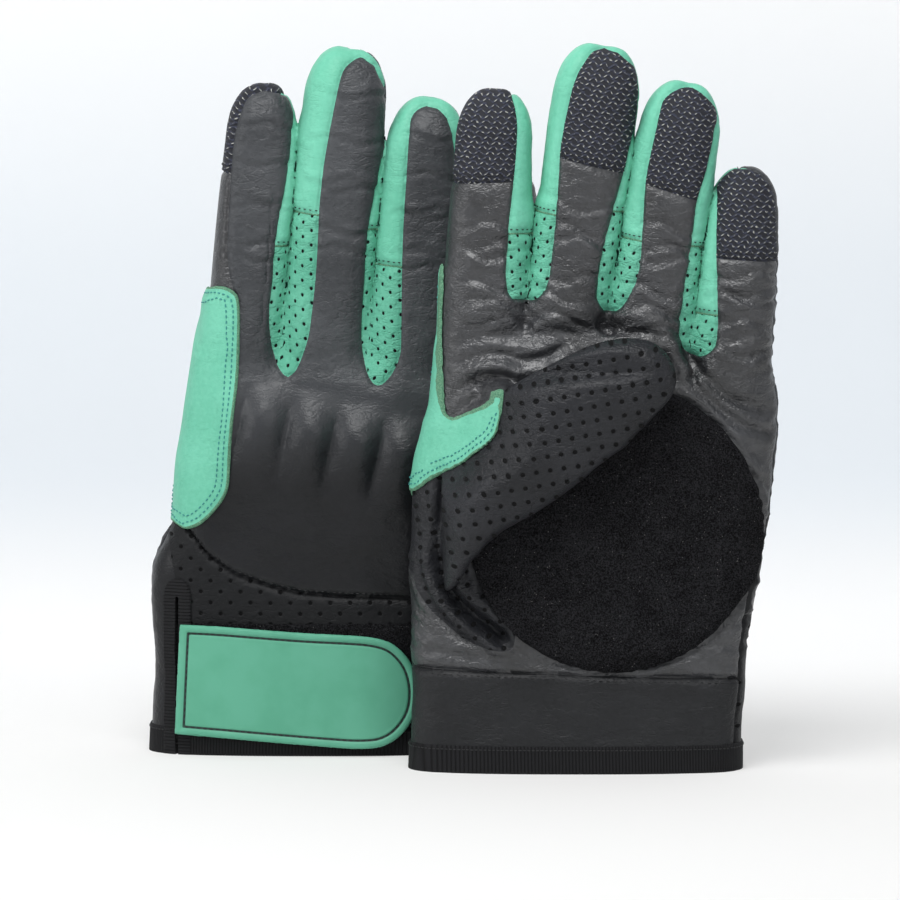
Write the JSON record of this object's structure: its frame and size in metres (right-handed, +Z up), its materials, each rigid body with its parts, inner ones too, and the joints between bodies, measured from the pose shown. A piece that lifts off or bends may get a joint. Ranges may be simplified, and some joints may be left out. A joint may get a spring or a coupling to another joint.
{
  "type": "longboard slide gloves",
  "caption": "Pair of leather slide gloves with knuckle guard, round loop patch for a palm puck, fabric fingertips and a rubber wrist strap, standing upright.",
  "frame": {"origin": "centre of the pair's outline, on the surface the hems stand on", "axes": "+Z up, from the hems to the fingertips; +X to the right as seen in the picture; -Y towards the viewer, where the left-hand glove shows its palm and the right-hand glove its back"},
  "size_m": [0.2184, 0.114, 0.2511],
  "materials": {
    "black_leather": "soft black goat leather, semi-gloss, creased",
    "perforated_leather": "black leather punched with rows of small round holes",
    "mint_leather": "matt mint green leather",
    "tip_fabric": "coarse dark blue-grey aramid weave",
    "loop_pile": "dense black loop pile",
    "hook_tape": "black hook tape",
    "edge_tape": "black ribbed binding tape",
    "strap_rubber": "matt mint green moulded rubber",
    "guard_plastic": "black moulded guard"
  },
  "bodies": {
    "right_hand": {"right_back_leather": "black_leather", "right_cuff_back": "perforated_leather", "right_palm_leather": "black_leather", "right_cuff_band": "black_leather", "right_hem_binding": "edge_tape", "right_knuckle_guard": "guard_plastic", "right_puck_patch": "loop_pile", "right_thumb_patch": "mint_leather", "right_web_1": "mint_leather", "right_web_2": "mint_leather", "right_web_3": "mint_leather"},
    "right_index": {"right_index_back": "black_leather", "right_index_palm": "black_leather", "right_index_tip_pad": "tip_fabric", "right_index_side_strip": "mint_leather"},
    "right_middle": {"right_middle_back": "black_leather", "right_middle_palm": "black_leather", "right_middle_tip_pad": "tip_fabric", "right_middle_side_strip": "mint_leather"},
    "right_ring": {"right_ring_back": "black_leather", "right_ring_palm": "black_leather", "right_ring_tip_pad": "tip_fabric", "right_ring_side_strip": "mint_leather"},
    "right_little": {"right_little_back": "black_leather", "right_little_palm": "black_leather", "right_little_tip_pad": "tip_fabric", "right_little_side_strip": "mint_leather"},
    "right_thumb_body": {"right_thumb": "perforated_leather"},
    "right_strap_body": {"right_strap": "strap_rubber", "right_strap_hook": "hook_tape"},
    "left_hand": {"left_back_leather": "black_leather", "left_cuff_back": "perforated_leather", "left_palm_leather": "black_leather", "left_cuff_band": "black_leather", "left_hem_binding": "edge_tape", "left_knuckle_guard": "guard_plastic", "left_puck_patch": "loop_pile", "left_thumb_patch": "mint_leather", "left_web_1": "mint_leather", "left_web_2": "mint_leather", "left_web_3": "mint_leather"},
    "left_index": {"left_index_back": "black_leather", "left_index_palm": "black_leather", "left_index_tip_pad": "tip_fabric", "left_index_side_strip": "mint_leather"},
    "left_middle": {"left_middle_back": "black_leather", "left_middle_palm": "black_leather", "left_middle_tip_pad": "tip_fabric", "left_middle_side_strip": "mint_leather"},
    "left_ring": {"left_ring_back": "black_leather", "left_ring_palm": "black_leather", "left_ring_tip_pad": "tip_fabric", "left_ring_side_strip": "mint_leather"},
    "left_little": {"left_little_back": "black_leather", "left_little_palm": "black_leather", "left_little_tip_pad": "tip_fabric", "left_little_side_strip": "mint_leather"},
    "left_thumb_body": {"left_thumb": "perforated_leather"},
    "left_strap_body": {"left_strap": "strap_rubber", "left_strap_hook": "hook_tape"}
  },
  "joints": [
    {"name": "left_glove_pull", "type": "slide", "parent": "right_hand", "child": "left_hand", "axis": [0, -1, 0], "range_m": [0, 0.12]},
    {"name": "right_index_curl", "type": "hinge", "parent": "right_hand", "child": "right_index", "pos_m": [-0.07355, 0.0354, 0.15792], "axis": [-0.9962, 0, 0.0872], "range_deg": [0, 70]},
    {"name": "right_middle_curl", "type": "hinge", "parent": "right_hand", "child": "right_middle", "pos_m": [-0.04423, 0.0354, 0.15893], "axis": [-0.9954, 0, 0.0958], "range_deg": [0, 70]},
    {"name": "right_ring_curl", "type": "hinge", "parent": "right_hand", "child": "right_ring", "pos_m": [-0.01403, 0.0354, 0.15506], "axis": [-0.9976, 0, 0.0698], "range_deg": [0, 70]},
    {"name": "right_little_curl", "type": "hinge", "parent": "right_hand", "child": "right_little", "pos_m": [0.01244, 0.0354, 0.147], "axis": [-0.9981, 0, 0.061], "range_deg": [0, 70]},
    {"name": "right_thumb_swing", "type": "hinge", "parent": "right_hand", "child": "right_thumb_body", "pos_m": [-0.09202, 0.035, 0.088], "axis": [0, 0, 1], "range_deg": [0, 100]},
    {"name": "right_strap_peel", "type": "hinge", "parent": "right_hand", "child": "right_strap_body", "pos_m": [-0.09804, 0.005, 0.026], "axis": [0, 0, -1], "range_deg": [0, 120]},
    {"name": "left_index_curl", "type": "hinge", "parent": "left_hand", "child": "left_index", "pos_m": [0.00797, -0.0354, 0.15792], "axis": [0.9986, 0, -0.0523], "range_deg": [0, 70]},
    {"name": "left_middle_curl", "type": "hinge", "parent": "left_hand", "child": "left_middle", "pos_m": [0.03618, -0.0354, 0.15893], "axis": [0.989, 0, -0.1478], "range_deg": [0, 70]},
    {"name": "left_ring_curl", "type": "hinge", "parent": "left_hand", "child": "left_ring", "pos_m": [0.06544, -0.0354, 0.15506], "axis": [0.989, 0, -0.1478], "range_deg": [0, 70]},
    {"name": "left_little_curl", "type": "hinge", "parent": "left_hand", "child": "left_little", "pos_m": [0.09427, -0.0354, 0.147], "axis": [0.9976, 0, -0.0698], "range_deg": [0, 70]},
    {"name": "left_thumb_swing", "type": "hinge", "parent": "left_hand", "child": "left_thumb_body", "pos_m": [-0.00604, -0.035, 0.088], "axis": [0, 0, -1], "range_deg": [0, 100]},
    {"name": "left_strap_peel", "type": "hinge", "parent": "left_hand", "child": "left_strap_body", "pos_m": [-0.00604, -0.005, 0.026], "axis": [0, 0, 1], "range_deg": [0, 22]}
  ]
}
